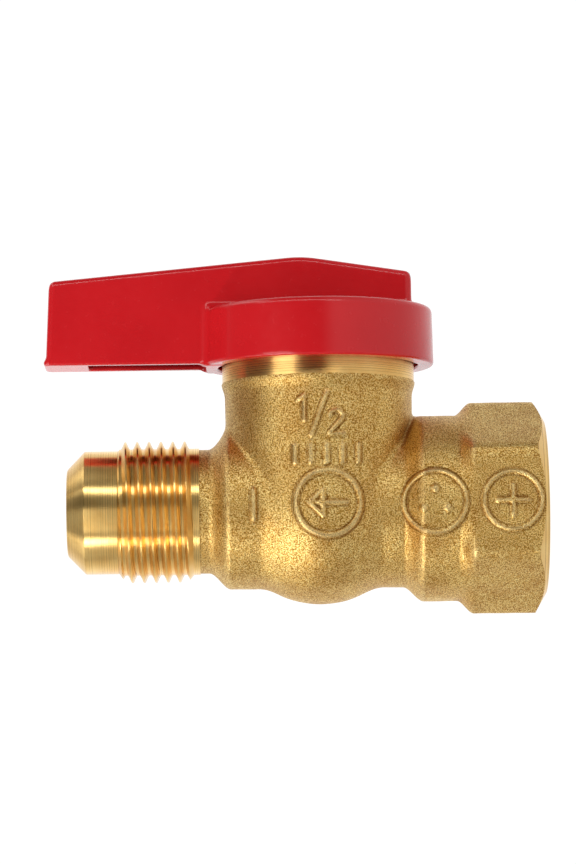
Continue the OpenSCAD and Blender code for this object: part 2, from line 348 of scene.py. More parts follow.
def plainMetal(name, light, dark, roughness, scale, uneven=0.15, depth=0.000004):  # with faint marks
    n = Nodes(name)
    marks = n.noise(scale, 4.0, 0.65)
    colour = n.ramp(marks, (0.3, dark), (0.7, light))
    return n.finish(Base_Color=colour, Metallic=1.0,
                    Roughness=n.spread(marks, 0.3, 0.7, roughness, roughness + uneven),
                    Normal=n.bump(marks, depth))


forged = forgedBrass()
turnedX = turnedBrass("turnedBrassAlongPipe", "x")
turnedZ = turnedBrass("turnedBrassAlongStem", "z")
enamel = redEnamel()
ptfe = moulded("ptfe", light=(0.86, 0.86, 0.84), dark=(0.74, 0.74, 0.72), roughness=0.42, scale=1400)
sealRubber = moulded("sealRubber", light=(0.035, 0.035, 0.037), dark=(0.015, 0.015, 0.016),
                     roughness=0.5, scale=2400)
platedBall = plainMetal("platedBall", light=(0.86, 0.87, 0.88), dark=(0.74, 0.75, 0.77),
                        roughness=0.06, scale=500)
springSteel = plainMetal("springSteel", light=(0.52, 0.51, 0.50), dark=(0.36, 0.35, 0.34),
                         roughness=0.30, scale=900)
screwSteel = plainMetal("screwSteel", light=(0.72, 0.70, 0.62), dark=(0.52, 0.50, 0.42),
                        roughness=0.24, scale=1100)
print("materials ready")


# the body's forging, in millimetres from the stem axis, as every piece is
forging = dict(
    throat=8.25, barrel=10.45, collar=12.4,    # radii along the pipe
    leftStep=(-14.9, -12.0), rightStep=(10.9, 13.7), hexStep=(18.1, 20.4),
    neck=12.47, bulge=12.6, rim=12.9, neckFlare=(14.6, 17.0),
    flats=12.5, cornerPower=30,                # half the spanner size; a higher power is a sharper corner
    fillet=(0.8, 1.5), frontFillet=0.55,       # round the bulge, at the neck's sides, on its front
    sideReach=4.5, filletChange=(-4, 6), bulgeRise=6, start=-16.1, top=17.1,
    faceRadius=11.6, chamferSlope=0.58,        # end face and the turned chamfer behind it
    lidRadius=11.0, lidGap=0.5,                # lid inside the turned end, which covers it
    seamSlopes=(0.85, 0.95), leftRows=20, rightRows=40, hexRows=48,
    frontRows=0.5, cornerGap=0.003,            # closer rows on the front and along the hexagon's edges
    markHeight=0.36, flash=0.07, flashWidth=0.4, wave=0.02)


def hexRadius(y, z):  # rounded hexagon: flats' distance over the power mean of its three directions
    total = 0
    for turn in (0, 60, 120):
        c, s = math.cos(math.radians(turn)), math.sin(math.radians(turn))
        total = total + np.abs(c * y + s * z) ** forging["cornerPower"]
    return forging["flats"] / total ** (1 / forging["cornerPower"])


def pipeRadius(x, y, z):  # radius along the pipe, where (y, z) is the unit direction from its axis
    f = forging
    left = ease((x - f["leftStep"][0]) / (f["leftStep"][1] - f["leftStep"][0]))
    right = ease((x - f["rightStep"][0]) / (f["rightStep"][1] - f["rightStep"][0]))
    hexShare = ease((x - f["hexStep"][0]) / (f["hexStep"][1] - f["hexStep"][0]))
    plain = f["throat"] + (f["barrel"] - f["throat"]) * left + (f["collar"] - f["barrel"]) * right
    return plain + (hexRadius(y, z) - plain) * hexShare


def strokeTo(x, z, x0, z0, x1, z1):  # distance from a straight stroke
    dx, dz = x1 - x0, z1 - z0
    t = np.clip(((x - x0) * dx + (z - z0) * dz) / (dx * dx + dz * dz), 0, 1)
    return np.hypot(x - x0 - t * dx, z - z0 - t * dz)


def arcTo(x, z, cx, cz, radius, start, sweep):  # distance from an arc, in degrees from +X
    a = (np.degrees(np.arctan2(z - cz, x - cx)) - start) % 360
    near = np.abs(np.hypot(x - cx, z - cz) - radius)
    ends = [np.hypot(x - cx - radius * math.cos(math.radians(e)),
                     z - cz - radius * math.sin(math.radians(e))) for e in (start, start + sweep)]
    return np.where(a <= sweep, near, np.minimum(*ends))


foundry = dict(
    overlap=0.18, edge=0.32,                   # how far outside a stroke its sides end, and their width
    rings=((0.9, 4.3, 0.62), (15.0, 4.1, 0.42), (25.2, 3.8, 0.46)),  # centre, radius and width
    arrow=((3.4, 0, -1.2, 0), (-1.6, 0, 0.2, 1.7), (-1.6, 0, 0.2, -1.7), (0.2, 1.7, 0.2, -1.7)),
    arrowWidth=0.5,
    dots=((-1.6, -0.9), (1.6, -0.9), (0.0, 1.7)), dotWidth=0.9, cross=2.0, crossWidth=0.5,
    size=((-2.1, 14.2, -2.1, 10.9), (-2.1, 14.2, -2.8, 13.6), (0.9, 14.6, -1.2, 8.9),
          (2.5, 10.7, 1.2, 9.1), (1.2, 9.1, 3.2, 9.1)), sizeArc=(2.1, 11.4, 0.85, -40, 210), sizeWidth=0.42,
    ticks=(-3.4, -1.3, 0.8, 2.9, 5.0), tickSpan=(5.4, 7.6), tickWidth=0.6, bar=-8.9, barHalf=1.9)


def raisedMarks(x, z):
    # plain foundry marks on the front, each a band round a stroke, an arc or a ring: a ring round an
    # arrow, a ring round dots, a ring round a cross, the nominal size, a row of ticks and a bar
    f = foundry
    dotRing, crossRing = f["rings"][1][0], f["rings"][2][0]

    def band(distance, width):
        return ease((width / 2 + f["overlap"] - distance) / f["edge"])

    marks = [band(np.abs(np.hypot(x - cx, z) - r), w) for cx, r, w in f["rings"]]
    marks += [band(strokeTo(x, z, *s), f["arrowWidth"]) for s in f["arrow"]]
    marks += [band(np.hypot(x - dotRing - dx, z - dz), f["dotWidth"]) for dx, dz in f["dots"]]
    marks += [band(strokeTo(x, z, crossRing - dx, -dz, crossRing + dx, dz), f["crossWidth"])
              for dx, dz in ((f["cross"], 0), (0, f["cross"]))]
    marks += [band(strokeTo(x, z, *s), f["sizeWidth"]) for s in f["size"]]
    marks.append(band(arcTo(x, z, *f["sizeArc"]), f["sizeWidth"]))
    low, high = f["tickSpan"]
    marks += [band(strokeTo(x, z, cx, low, cx, high), f["tickWidth"]) for cx in f["ticks"]]
    marks.append(band(strokeTo(x, z, f["bar"], -f["barHalf"], f["bar"], f["barHalf"]), f["tickWidth"]))
    return np.maximum.reduce(marks)


def forgingField(x, y, z):
    # distance outside the forging: pipe radius and a round-bottomed neck joined by a fillet,
    # less the raised marks, the flash line left where the dies met, and a slight waviness
    f = forging
    rho = np.sqrt(y * y + z * z)
    pipe = rho - pipeRadius(x, y / rho, z / rho)
    low = np.minimum(z, 0)
    flareStart, flareEnd = f["neckFlare"]
    straight = f["bulge"] + (f["neck"] - f["bulge"]) * ease(z / f["bulgeRise"])
    flaring = (f["rim"] - f["neck"]) * ease((z - flareStart) / (flareEnd - flareStart)) ** 2
    neck = np.sqrt(x * x + y * y + low * low) - (straight + flaring)
    bulgeFillet, sideFillet = f["fillet"]
    neckFillet = f["frontFillet"] + (sideFillet - f["frontFillet"]) * np.exp(-(y / f["sideReach"]) ** 2)
    filletStart, filletRise = f["filletChange"]
    change = ease((z - filletStart) / filletRise)
    skin = softMin(pipe, neck, bulgeFillet + (neckFillet - bulgeFillet) * change)
    marks = f["markHeight"] * raisedMarks(x, z) * (y < 0)
    flash = f["flash"] * np.exp(-(y / f["flashWidth"]) ** 2)
    crossing = np.sin(1.1 * x + 0.7 * z) * np.sin(0.9 * y + 0.5 * x)
    wave = f["wave"] * (crossing + np.sin(0.8 * z - 1.3 * y + 2))
    return skin - marks - flash - wave


def firstOut(field, start, direction, nearest=5.0, farthest=18.0, steps=53, halvings=26):
    # how far along each ray the field first turns positive: coarse steps, then halving
    reach = np.linspace(nearest, farthest, steps)
    shape = direction[0].shape
    found = np.zeros(shape, bool)
    low, high = np.full(shape, nearest), np.full(shape, farthest)
    for near, far in zip(reach[:-1], reach[1:]):
        value = field(*(s + d * far for s, d in zip(start, direction)))
        new = (value > 0) & ~found
        low, high = np.where(new, near, low), np.where(new, far, high)
        found |= new
    for _ in range(halvings):
        middle = (low + high) / 2
        out = field(*(s + d * middle for s, d in zip(start, direction))) > 0
        low, high = np.where(out, low, middle), np.where(out, middle, high)
    return (low + high) / 2


def chamferX(y, z):  # where the turned chamfer meets the hexagon, in the direction (y, z)
    return inletX - (hexRadius(y, z) - forging["faceRadius"]) * forging["chamferSlope"]


def seamLine(across):
    # where the skin meets the planes z = slope * |x|, as x, z and the y of its front and back
    sweep = np.linspace(-np.pi / 2, np.pi / 2, across + 1)
    ends = []
    for side, slant in zip((-1, 1), forging["seamSlopes"]):
        ray = [np.array([side * 1.0]), np.array([0.0]), np.array([slant])]
        ends.append(firstOut(forgingField, (0, 0, 0), ray)[0])
    seamX = np.where(sweep < 0, ends[0], ends[1]) * np.sin(sweep)
    seamZ = np.abs(seamX) * np.where(sweep < 0, *forging["seamSlopes"])
    none = 0 * seamX[1:-1]
    front, back = 0 * seamX, 0 * seamX
    for side, found in ((-1, front), (1, back)):
        found[1:-1] = side * firstOut(forgingField, (seamX[1:-1], 0, seamZ[1:-1]), (none, side + none, none),
                                      nearest=0.02, farthest=16.0, steps=120)
    return seamX, seamZ, front, back


def pipeSkin(seamX, seamZ, front, back, around):
    # rays from the pipe axis: a full turn left and right of the neck, and below the seam under it
    f = forging
    left = np.linspace(f["start"], seamX[0], f["leftRows"])[:-1]
    right = np.linspace(seamX[-1], f["hexStep"][1], f["rightRows"])[1:]
    hexLine = np.linspace(0, 1, f["hexRows"])[1:]
    x = np.concatenate([left, seamX, right, np.full(len(hexLine), right[-1])])
    under = slice(len(left), len(left) + len(seamX))
    first, last = 0 * x, np.full(len(x), 2 * np.pi)
    first[under] = np.arctan2(-front, seamZ)
    last[under] = 2 * np.pi - np.arctan2(back, seamZ)
    share = np.linspace(0, 1, around + 1)
    share = share + f["frontRows"] / (2 * np.pi) * (np.cos(2 * np.pi * share) - 1)
    corners = np.arange(1, 6) / 6
    share = np.unique(np.concatenate([share, corners, corners - f["cornerGap"], corners + f["cornerGap"]]))
    angle = first[:, None] + (last - first)[:, None] * share
    y, z = -np.sin(angle), np.cos(angle)
    x = np.broadcast_to(x[:, None], angle.shape).copy()
    hexRows = slice(len(x) - len(hexLine), None)
    x[hexRows] = right[-1] + (chamferX(y, z)[hexRows] - right[-1]) * hexLine[:, None]
    r = firstOut(forgingField, (x, 0, 0), (0 * y, y, z))
    y, z = y * r, z * r
    y[under, 0], z[under, 0] = front, seamZ
    y[under, -1], z[under, -1] = back, seamZ
    return x, y, z


def neckSkin(seamX, seamZ, front, back, up):
    # level rays from the stem axis, in rows from the seam up to the rim
    loopX = np.concatenate([seamX, seamX[-2::-1]])
    loopY = np.concatenate([front, back[-2::-1]])
    loopZ = np.concatenate([seamZ, seamZ[-2::-1]])
    turn = np.arctan2(loopY, loopX)
    height = loopZ + (forging["top"] - loopZ) * np.linspace(0, 1, up + 1)[:, None]
    x, y = np.cos(turn) + 0 * height, np.sin(turn) + 0 * height
    r = firstOut(forgingField, (0, 0, height), (x, y, 0 * x))
    x, y = x * r, y * r
    x[0], y[0], height[0] = loopX, loopY, loopZ
    return x, y, height


def forgingSkin(across=160, around=240, up=56):
    # the pipe's skin and the neck's share one seam; lids close the throat, the neck and the inlet end
    f = forging
    seam = seamLine(across)
    pipe, neck = pipeSkin(*seam, around), neckSkin(*seam, up)
    throatRing, endRing = (np.stack([c[row] for c in pipe], -1) for row in (0, -1))
    neckRing = np.stack([c[-1] for c in neck], -1)
    outward = endRing[:, 1:] / np.linalg.norm(endRing[:, 1:], axis=1)[:, None]
    lidX = inletX - f["lidGap"]
    lidRing = np.column_stack([np.full(len(endRing), lidX), outward * f["lidRadius"]])
    rings = np.stack([endRing, lidRing])
    return joined([sheetOf(*pipe), sheetOf(*neck), fan(throatRing, [f["start"], 0, 0]),
                   fan(neckRing, [0, 0, f["top"]]), (rings.reshape(-1, 3), gridFaces(*rings.shape[:2])),
                   fan(lidRing, [lidX, 0, 0])])


chamber = dict(radius=10.3, spigot=13.6, bonnet=11.0, top=20.0, outletBore=5.0, inletBore=5.5,
               liner=11.32, linerStart=13.5, boreStart=-17.0, boreEnd=32.0)


def chamberCutter():  # the hollow for ball and bonnet: half a ball below, a stepped bore above
    c = chamber
    bowl = [(-c["radius"] * math.cos(a), c["radius"] * math.sin(a)) for a in np.linspace(0, np.pi / 2, 25)]
    steps = [(c["spigot"], c["radius"]), (c["spigot"], c["bonnet"]), (c["top"], c["bonnet"]), (c["top"], 0.0)]
    return meshFrom("chamberCutter", *turnedAbout("z", bowl + steps), sharpAngle=30)


def boreCutter():  # the flow bores and the room for the turned inlet end
    c = chamber
    profile = [(c["boreStart"], 0.0), (c["boreStart"], c["outletBore"]), (0.0, c["outletBore"]),
               (0.0, c["inletBore"]), (c["linerStart"], c["inletBore"]), (c["linerStart"], c["liner"]),
               (c["boreEnd"], c["liner"]), (c["boreEnd"], 0.0)]
    return meshFrom("boreCutter", *turnedAbout("x", profile), sharpAngle=30)


def markPoints(piece, name, values):  # keeps one number per point for a material to read
    layer = piece.data.attributes.new(name, "FLOAT", "POINT")
    layer.data.foreach_set("value", values.astype(np.float32))


def markRelief(piece, reach=0.4, skinDepth=0.05, offCentre=1e-6):
    # the skin's bend at each point: over 0 where it stands proud, under 0 in corners; the field's
    # sum over six neighbours a short reach away, less six times its own value, over reach squared
    place = np.empty(len(piece.data.vertices) * 3)
    piece.data.vertices.foreach_get("co", place)
    x, y, z = ((place.reshape(-1, 3) - np.array(stemAxis)) / mm).T
    y = np.where(np.abs(y) < offCentre, offCentre, y)
    here = forgingField(x, y, z)
    total = -6 * here
    for axis in range(3):
        for way in (-reach, reach):
            shift = [way * (axis == i) for i in range(3)]
            total = total + forgingField(x + shift[0], y + shift[1], z + shift[2])
    markPoints(piece, "relief", np.where(np.abs(here) < skinDepth, total / reach ** 2, 0))


bodyForging = meshFrom("bodyForging", *forgingSkin(), sharpAngle=50)
for cutter in (chamberCutter(), boreCutter()):
    cutAway(bodyForging, cutter)
markRelief(bodyForging)
finishPiece(bodyForging, forged, fixedBody, ["valve_body"])


flare = dict(
    bore=5.0, face=5.85, nose=8.24, coneEnd=noseX + 2.4, threadStart=-26.95, threadEnd=-16.95,
    crest=9.45, root=8.476, pitch=1.5875, firstCrest=-26.0, end=-16.1, startSlope=1.45, endSlope=1.2,
    boreEdge=(0.2, 0.16),                      # chamfer at the bore's mouth, along and out
    faceEdge=((0, -0.22), (0.06, -0.06), (0.16, 0.1)), coneEdge=((-0.08, -0.08), (0, -0.02), (0.08, 0)),
    steps=(0, .0625, .14, .22, .30, .375, .44, .5, .56, .625, .70, .78, .86, .9375))  # shares of a pitch


def threadRadius(phase, crest, depth, flatShare=0.125, rootShare=0.25, hollow=0.06):
    # one 60 degree thread form across its phase: crest flat, flank, rounded root
    d = np.abs((phase + 0.5) % 1 - 0.5)
    fall = (d - flatShare / 2) / (0.5 - flatShare / 2 - rootShare / 2)
    fall = np.clip(fall, 0, 1)
    return crest - depth * (fall + hollow * np.sin(np.pi * fall) * (fall > 0.5))


def flareOutlet(count=240):
    # a lathe profile for nose and tail, and between them a thread whose grid lines follow the helix:
    # x = first crest + pitch * (row + turn), held between its two ends
    f = flare
    turn = np.linspace(0, 2 * np.pi, count + 1)
    edgeAlong, edgeOut = f["boreEdge"]
    nose = [(noseX + edgeAlong, f["bore"]), (noseX, f["bore"] + edgeOut)]
    nose += [(noseX + along, f["face"] + out) for along, out in f["faceEdge"]]
    nose += [(f["coneEnd"] + along, f["nose"] + out) for along, out in f["coneEdge"]]
    nose.append((f["threadStart"], f["nose"]))
    tail = [(f["threadEnd"], f["root"]), (f["end"], f["root"]), (f["end"], f["bore"]),
            (noseX + edgeAlong, f["bore"])]
    sheets = []
    for part in (nose, tail):
        along, radius = (column[:, None] for column in np.array(part).T)
        sheets.append(sheetOf(along + 0 * turn, radius * np.cos(turn), radius * np.sin(turn)))
    turns = np.arange(-2, int((f["threadEnd"] - f["threadStart"]) / f["pitch"]) + 2)
    row = (turns[:, None] + np.array(f["steps"])).ravel()
    fromTop = (turn - np.pi / 2) / (2 * np.pi)
    x = f["firstCrest"] + f["pitch"] * (row[:, None] + fromTop)
    x = np.clip(x, f["threadStart"], f["threadEnd"])
    phase = (x - f["firstCrest"]) / f["pitch"] - fromTop
    r = threadRadius(phase, f["crest"], f["crest"] - f["root"])
    r = np.minimum(r, f["nose"] + (x - f["threadStart"]) * f["startSlope"])
    r = np.minimum(r, f["root"] + (f["threadEnd"] - x) * f["endSlope"])
    sheets.append(sheetOf(x, r * np.cos(turn), r * np.sin(turn)))
    return joined(sheets)


flareEnd = meshFrom("flareOutlet", *flareOutlet(), sharpAngle=24, weld=2e-3)
finishPiece(flareEnd, turnedX, fixedBody)


rim = dict(inner=11.0, outer=12.88, low=17.1, high=20.5, lugHeight=2.2,
           lugAt=45.0, lugHalf=9.0, lugRise=0.8,  # in degrees
           edgeDrop=0.3, outerEdge=0.28, innerEdge=0.3)


def neckRim(count=360):  # a ring whose top rises to the lug over a few degrees
    r = rim
    turn = np.linspace(0, 2 * np.pi, count + 1)
    away = np.abs((np.degrees(turn) - r["lugAt"] + 180) % 360 - 180)
    lug = r["lugHeight"] * ease((r["lugHalf"] - away) / r["lugRise"] + 0.5)
    profile = [(r["inner"], 0, 0), (r["outer"], 0, 0), (r["outer"], 1, r["edgeDrop"]),
               (r["outer"] - r["outerEdge"], 1, 0), (r["inner"] + r["innerEdge"], 1, 0),
               (r["inner"], 1, r["edgeDrop"]), (r["inner"], 0, 0)]
    radius, share, drop = (np.array(c)[:, None] for c in zip(*profile))
    height = r["low"] + (r["high"] - r["low"] + lug) * share - drop
    return sheetOf(radius * np.cos(turn), radius * np.sin(turn), height)


finishPiece(meshFrom("neckRim", *neckRim(), sharpAngle=24), turnedZ, fixedBody)


inlet = dict(
    mouth=10.95, crest=9.33, depth=1.38, taper=1 / 32, pitch=1.814, threadEnd=16.6,
    coneEnd=14.2, bore=5.5, start=13.5, outer=11.3,
    mouthDepth=1.0, backGap=0.45, startSlope=1.3, runOut=2.4, clear=0.001, wallStep=(0.3, 0.1),
    steps=(0, .06, .14, .22, .30, .375, .44, .5, .56, .625, .70, .78, .86, .94))  # shares of a pitch


def inletEnd(count=360):
    # the end face, the chamfer out to the hexagon, and a tapered thread cut inwards: its wall is
    # twice the crest's radius less the thread form of the flare outlet
    f = inlet
    turn = np.linspace(0, 2 * np.pi, count + 1)
    y, z = np.cos(turn), np.sin(turn)
    face = forging["faceRadius"]

    def rings(points):
        along, radius = (column[:, None] for column in np.array(points).T)
        return sheetOf(along + 0 * turn, radius * y, radius * z)

    share = np.linspace(0, 1, 7)[:, None]
    outlineR, outlineX = hexRadius(y, z), chamferX(y, z)

    def between(endX, endRadius):  # from the hexagon's outline to a ring
        radius = outlineR + (endRadius - outlineR) * share
        return sheetOf(outlineX + (endX - outlineX) * share, radius * y, radius * z)

    chamfer, back = between(inletX, face), between(inletX - f["backGap"], f["outer"])
    threadStart = inletX - f["mouthDepth"]
    rootAtStart = f["crest"] + f["depth"] - (inletX - threadStart) * f["taper"]
    mouth = rings([(inletX, face), (inletX, f["mouth"]), (threadStart, rootAtStart)])
    turns = np.arange(-1, int((threadStart - f["threadEnd"]) / f["pitch"]) + 2)
    row = (turns[:, None] + np.array(f["steps"])).ravel()
    x = f["threadEnd"] + f["pitch"] * (row[:, None] + turn / (2 * np.pi))
    x = np.clip(x, f["threadEnd"], threadStart)
    phase = (x - f["threadEnd"]) / f["pitch"] - turn / (2 * np.pi)
    wall = f["crest"] - (inletX - x) * f["taper"]
    r = 2 * wall - threadRadius(phase, wall, f["depth"])
    r = np.minimum(r, wall + f["depth"] * ease((x - f["threadEnd"]) / f["runOut"]) + f["clear"])
    r = np.maximum(r, rootAtStart - (threadStart - x) * f["startSlope"])
    thread = sheetOf(x, r * y, r * z)
    endWall = f["crest"] - (inletX - f["threadEnd"]) * f["taper"]
    stepAlong, stepIn = f["wallStep"]
    tail = rings([(f["threadEnd"], endWall), (f["threadEnd"] - stepAlong, endWall - stepIn),
                  (f["coneEnd"], f["bore"]), (f["start"], f["bore"]), (f["start"], f["outer"]),
                  (inletX - f["backGap"], f["outer"])])
    return joined([chamfer, back, mouth, thread, tail])


pipeEnd = meshFrom("inletEnd", *inletEnd(), sharpAngle=24, weld=2e-3)
finishPiece(pipeEnd, turnedX, fixedBody)


lever = dict(
    tipHalf=4.15, rootHalf=4.65, rootX=12.6, coreHalf=2.9, coreStart=-30.8, bladeBase=19.5,
    cap=15.57, draft=0.02, capTop=27.05, skirt=13.4, ceiling=24.0, hub=6.8, hubBase=21.0,
    crestX=-2.0, crestLift=0.12, rise=0.0889, fall=0.157, crestRound=0.5,
    tipBack=0.34, tipDraft=0.045, lip=0.32, lipTop=1.3, coreInset=0.5, coreWall=2.0,
    edge=0.9, edgeSmall=0.5, join=1.0, recess=3.6, recessFloor=26.4, hole=2.2, socket=2.85, socketTop=24.8,
    stops=(28.0, 152.0), stopHalf=7.0, stopInner=10.8, stopBase=20.9,
    pocketTop=29.2, pocketX=-1.2, pocketHalf=11.4, pocketGap=0.6,
    innerEdge=0.5, endEdge=0.4, fineEdge=0.3, crestEdge=0.6, socketEdge=0.2, tipEdge=0.1,
    cell=0.27, margin=0.8)


def leverField(x, y, z):
    # distance outside the casting: a wedge-backed blade and a round cap joined by a fillet,
    # then hollowed from below and bored for the stem and the screw
    f = lever
    peak, fromCrest = crestTop + f["crestLift"], x - f["crestX"]
    back = softMin(peak + f["rise"] * fromCrest, peak - f["fall"] * fromCrest, f["crestRound"])
    half = f["tipHalf"] + (f["rootHalf"] - f["tipHalf"]) * (x - leverTip) / (f["rootX"] - leverTip)
    tip = leverTip + f["tipBack"] + f["tipDraft"] * (z - leverBase)
    tip = tip - f["lip"] * ease(f["bladeBase"] + f["lipTop"] - z)
    blade = softMax(np.abs(y) - half, z - back, f["edge"])
    blade = softMax(blade, softMax(tip - x, x - f["rootX"], f["tipEdge"]), f["edge"])
    rho = np.sqrt(x * x + y * y)
    cap = softMax(rho - f["cap"] + f["draft"] * (z - leverBase), z - f["capTop"], f["edge"])
    blade = softMax(blade, f["bladeBase"] - z, f["edgeSmall"])
    cap = softMax(cap, leverBase - z, f["edgeSmall"])
    solid = softMin(blade, cap, f["join"])
    coreEnds = softMax(f["coreStart"] - x, x + f["cap"] - f["coreInset"], f["endEdge"])
    core = softMax(np.abs(y) - f["coreHalf"], coreEnds, f["innerEdge"])
    core = softMax(core, z - back + f["coreWall"], f["crestEdge"])
    hollow = softMax(rho - f["skirt"], z - f["ceiling"], f["innerEdge"])
    hub = softMax(rho - f["hub"], f["hubBase"] - z, f["endEdge"])
    hollow = softMax(hollow, -hub, f["innerEdge"])
    for at in f["stops"]:
        a = math.radians(at)
        side = np.abs(-x * math.sin(a) + y * math.cos(a)) - rho * math.sin(math.radians(f["stopHalf"]))
        rib = np.maximum(np.maximum(side, f["stopInner"] - rho), -(x * math.cos(a) + y * math.sin(a)))
        hollow = softMax(hollow, -np.maximum(rib, f["stopBase"] - z), f["fineEdge"])
    pocket = softMax(np.abs(y) - f["coreHalf"], z - f["pocketTop"], f["innerEdge"])
    pocketEnds = softMax(np.abs(x - f["pocketX"]) - f["pocketHalf"], f["hub"] + f["pocketGap"] - np.abs(x),
                         f["endEdge"])
    pocket = softMax(pocket, pocketEnds, f["innerEdge"])
    well = np.maximum(rho - f["recess"], f["recessFloor"] - z)
    bore = rho - f["hole"]
    square = softMax(np.abs(x) - f["socket"], np.abs(y) - f["socket"], f["fineEdge"])
    socket = softMax(square, z - f["socketTop"], f["socketEdge"])
    for empty in (core, hollow, pocket, well, bore, socket):
        solid = softMax(solid, -empty, f["fineEdge"])
    return solid


def slope(field, points, step=0.02):  # the field's gradient by central differences
    found = []
    for axis in range(3):
        shift = np.zeros(3)
        shift[axis] = step
        found.append((field(*(points + shift).T) - field(*(points - shift).T)) / (2 * step))
    return np.stack(found, 1)


def castSkin(field, low, high, cell, flattest=0.2, farthest=0.3):
    # a casting that no two-way grid can cover: one point in every cell that the skin crosses,
    # drawn onto the skin along the slope, and a face round every crossed cell edge; each draw goes
    # at most a share of a cell, and takes the slope for no flatter than a least value
    lines = [np.arange(a, b + cell, cell) for a, b in zip(low, high)]
    value = field(*np.meshgrid(*lines, indexing="ij"))
    inside = value < 0
    corners = [(i, j, k) for i in (0, 1) for j in (0, 1) for k in (0, 1)]
    shape = tuple(n - 1 for n in inside.shape)

    def corner(array, c):
        return array[c[0]:c[0] + shape[0], c[1]:c[1] + shape[1], c[2]:c[2] + shape[2]]

    count = sum(corner(inside, c).astype(int) for c in corners)
    mixed = (count > 0) & (count < 8)
    where = np.argwhere(mixed)
    index = np.full(shape, -1)
    index[mixed] = np.arange(len(where))
    total, hits = np.zeros((len(where), 3)), np.zeros(len(where))
    for a in corners:  # mean of the places where the skin crosses the cell's twelve edges
        for axis in range(3):
            if a[axis]:
                continue
            b = tuple(c + (i == axis) for i, c in enumerate(a))
            va, vb = corner(value, a)[mixed], corner(value, b)[mixed]
            crossed = (va < 0) != (vb < 0)
            t = np.where(crossed, va / np.where(crossed, va - vb, 1), 0)
            total += np.where(crossed[:, None], np.array(a) + t[:, None] * (np.array(b) - np.array(a)), 0)
            hits += crossed
    points = np.array(low) + (where + total / hits[:, None]) * cell
    for _ in range(3):
        g = slope(field, points)
        move = -(field(*points.T) / np.maximum((g * g).sum(1), flattest))[:, None] * g
        points += np.clip(move, -farthest * cell, farthest * cell)
    faces = []
    for axis in range(3):
        u, v = (axis + 1) % 3, (axis + 2) % 3
        near, far = [slice(None)] * 3, [slice(None)] * 3
        near[axis], far[axis] = slice(None, -1), slice(1, None)
        for turned, crossed in ((False, inside[tuple(near)] & ~inside[tuple(far)]),
                                (True, ~inside[tuple(near)] & inside[tuple(far)])):
            at = np.argwhere(crossed)
            at = at[(at[:, u] > 0) & (at[:, v] > 0)]
            ring = []
            for du, dv in ((1, 1), (0, 1), (0, 0), (1, 0)):
                cellAt = at.copy()
                cellAt[:, u] -= du
                cellAt[:, v] -= dv
                ring.append(index[tuple(cellAt.T)])
            faces.append(np.stack(ring[::-1] if turned else ring, 1))
    return points, np.concatenate(faces)


def castPiece(name, field, low, high, cell, shadeStep=0.06):  # the skin, shaded by the field's own slope
    points, faces = castSkin(field, low, high, cell)
    piece = meshFrom(name, points, faces, weld=None)
    normals = slope(field, points, shadeStep)
    normals /= np.linalg.norm(normals, axis=1)[:, None]
    piece.data.normals_split_custom_set_from_vertices(normals.tolist())
    return piece, points


within = dict(side=0.25, skirt=0.15, low=0.1, tip=1.6, root=28.0, roof=3.0, ceiling=1.5,  # limits
              across=0.3, along=0.5, up=0.8)                                              # blends


def markWithin(piece, points):
    # 1 up inside the blade's core and the cap's hollow, 0 outside, eased from one to the other; the enamel is
    # darkened there as painted shade
    f, w = lever, within
    x, y, z = points.T
    core = ease((f["coreHalf"] + w["side"] - np.abs(y)) / w["across"])
    core *= ease((z - f["bladeBase"] - w["low"]) / w["up"]) * (z < crestTop - w["roof"])
    core *= ease((f["rootX"] - w["root"] - x) / w["along"]) * ease((x - leverTip - w["tip"]) / w["along"])
    cap = ease((f["skirt"] + w["skirt"] - np.hypot(x, y)) / w["across"])
    cap *= ease((z - leverBase - w["low"]) / w["up"]) * (z < f["capTop"] - w["ceiling"])
    markPoints(piece, "within", np.maximum(core, cap))


leverCasting, leverPoints = castPiece(
    "leverCasting", leverField, [c - lever["margin"] for c in fromStem(leverLow)],
    [c + lever["margin"] for c in fromStem(leverHigh)], lever["cell"])
markWithin(leverCasting, leverPoints)
finishPiece(leverCasting, enamel, turningBody, ["handle"])


# the other pieces keep their own shape and take a material
for node, material in {
        "ball": platedBall, "stem": turnedZ, "bonnet": turnedZ, "pressure_ring": turnedZ,
        "outlet_seat": ptfe, "inlet_seat": ptfe, "thrust_washer": ptfe, "lower_stem_seal": sealRubber,
        "upper_stem_seal": sealRubber, "bonnet_seal": sealRubber, "seat_spring": springSteel,
        "screw_washer": springSteel, "handle_screw": screwSteel}.items():
    carried = frame["nodes"][node]
    for place in range(max(len(carried.data.materials), 1)):
        if carried.data.materials:
            carried.data.materials[place] = material
        else:
            carried.data.materials.append(material)
print("pieces ready")


def lamp(name, azimuth, elevation, distance, size, power, aimHeight=0.008):
    # a soft box aimed just above the pipe axis; azimuth 0 is in front, positive to the right
    a, e = math.radians(azimuth), math.radians(elevation)
    aim = stemAxis + Vector((0, 0, aimHeight))
    place = aim + distance * Vector((math.sin(a) * math.cos(e), -math.cos(a) * math.cos(e), math.sin(e)))
    light = bpy.data.lights.new(name, "AREA")
    light.shape, light.size, light.size_y = "RECTANGLE", *size
    light.energy = power
    holder = bpy.data.objects.new(name, light)
    holder.location = place
    holder.visible_camera = False
    holder.rotation_euler = (aim - place).to_track_quat("-Z", "Y").to_euler()
    bpy.context.scene.collection.objects.link(holder)


studio = dict(
    floor=-1.2, left=-1.3, right=1.3, front=-1.4, back=0.3, mottle=6, rough=0.9,
    tones=((0.3, (0.80, 0.80, 0.80)), (0.7, (0.84, 0.84, 0.84))))


